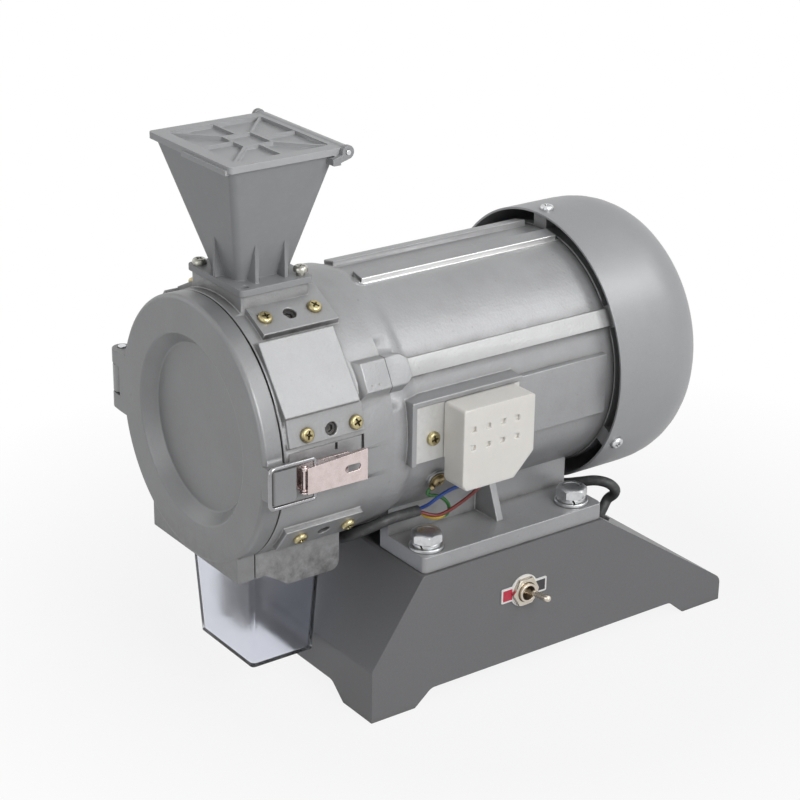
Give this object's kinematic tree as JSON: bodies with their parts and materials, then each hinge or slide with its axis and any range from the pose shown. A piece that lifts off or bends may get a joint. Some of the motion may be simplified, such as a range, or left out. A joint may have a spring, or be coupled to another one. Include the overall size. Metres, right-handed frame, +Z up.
{
  "type": "electric grain mill",
  "caption": "Foot-mounted motor driving a beater drum with a hinged latched door, a lidded hopper on top and a clear sample box below, on a sheet steel base with a toggle switch.",
  "frame": {"origin": "on the worktop, under the middle of the base's footprint", "axes": "+Z up, +Y from the drum door towards the fan, +X towards the switch and the latch"},
  "size_m": [0.1989, 0.3519, 0.3428],
  "materials": {
    "base_paint": "satin grey baked enamel on sheet steel",
    "casting_paint": "silver metallic paint on rough castings",
    "door_paint": "worn dark silver paint on the door casting",
    "zinc_steel": "bright zinc plate",
    "yellow_zinc": "yellow zinc plated screws",
    "black_steel": "black oxide",
    "nickel_steel": "warm nickel plate on pressed steel",
    "machined_steel": "turned and ground steel",
    "lamination_steel": "stacked laminations",
    "copper_winding": "varnished copper wire",
    "fan_plastic": "black moulded nylon",
    "rubber_black": "black rubber",
    "hopper_plastic": "grey moulded plastic",
    "box_clear": "clear acrylic",
    "block_nylon": "milky nylon",
    "wire_blue": "blue insulation",
    "wire_brown": "brown insulation",
    "wire_earth": "yellow insulation with a green stripe",
    "lead_sheath": "dark grey sheath",
    "capacitor_can": "off-white capacitor case",
    "phenolic": "black moulded switch body",
    "label_red": "printed switch plate"
  },
  "bodies": {
    "root": {"base_shell": "base_paint", "motor_frame": "casting_paint", "foot_bolts": "zinc_steel", "foot_washers": "zinc_steel", "foot_nuts": "zinc_steel", "stator_core": "lamination_steel", "stator_winding": "copper_winding", "front_bearing": "machined_steel", "rear_bearing": "machined_steel", "rear_shield": "casting_paint", "fan_cover": "casting_paint", "fan_cover_screws": "zinc_steel", "tie_bolts": "zinc_steel", "drum_housing": "casting_paint", "liner_plates": "machined_steel", "liner_screws": "yellow_zinc", "liner_set_screws": "black_steel", "sieve_screen": "machined_steel", "shaft_seal": "rubber_black", "latch_base": "nickel_steel", "latch_rivets": "nickel_steel", "latch_pivot_pin": "nickel_steel", "hopper": "hopper_plastic", "hopper_screws": "yellow_zinc", "lid_hinge_pin": "zinc_steel", "terminal_plate": "zinc_steel", "terminal_block": "block_nylon", "terminal_screw": "yellow_zinc", "earth_lug": "yellow_zinc", "earth_screw": "yellow_zinc", "wire_blue": "wire_blue", "wire_brown": "wire_brown", "wire_earth": "wire_earth", "motor_lead": "lead_sheath", "lead_grommet": "rubber_black", "cord_gland": "phenolic", "run_capacitor": "capacitor_can", "capacitor_clip": "zinc_steel", "switch_body": "phenolic", "switch_nut": "nickel_steel", "switch_label": "label_red"},
    "rotor": {"rotor_shaft": "machined_steel", "motor_rotor": "lamination_steel", "cooling_fan": "fan_plastic", "beater_rotor": "machined_steel", "beater_blades": "machined_steel", "blade_screws": "black_steel", "rotor_nut": "machined_steel"},
    "door_leaf": {"door": "door_paint", "door_gasket": "rubber_black", "door_hinge_pin": "zinc_steel"},
    "latch_arm": {"latch_lever": "nickel_steel"},
    "latch_wire": {"latch_bail": "zinc_steel"},
    "lid_leaf": {"hopper_lid": "hopper_plastic"},
    "box": {"sample_box": "box_clear"},
    "toggle": {"switch_lever": "nickel_steel"}
  },
  "joints": [
    {"name": "rotor_spin", "type": "hinge", "parent": "root", "child": "rotor", "pos_m": [0, 0, 0.1757], "axis": [0, 1, 0], "continuous": true},
    {"name": "door_hinge", "type": "hinge", "parent": "root", "child": "door_leaf", "pos_m": [-0.089, -0.203, 0.1757], "axis": [0, 0, -1], "range_deg": [0, 110]},
    {"name": "latch_lever_hinge", "type": "hinge", "parent": "root", "child": "latch_arm", "pos_m": [0.0858, -0.1875, 0.1718], "axis": [0, 0, -1], "range_deg": [0, 110]},
    {"name": "latch_bail_hinge", "type": "hinge", "parent": "latch_arm", "child": "latch_wire", "pos_m": [0.0873, -0.1815, 0.1718], "axis": [0, 0, 1], "range_deg": [0, 137.5]},
    {"name": "lid_hinge", "type": "hinge", "parent": "root", "child": "lid_leaf", "pos_m": [0, -0.1322, 0.3389], "axis": [-1, 0, 0], "range_deg": [0, 110]},
    {"name": "sample_box_slide", "type": "slide", "parent": "root", "child": "box", "axis": [0, 0, -1], "range_m": [0, 0.0265]},
    {"name": "switch_toggle", "type": "hinge", "parent": "root", "child": "toggle", "pos_m": [0.082, -0.0276, 0.0562], "axis": [0, 0, -1], "range_deg": [0, 29]}
  ],
  "couplings": [
    {"joint": "latch_bail_hinge", "follows": "latch_lever_hinge", "ratio": 1.25}
  ]
}
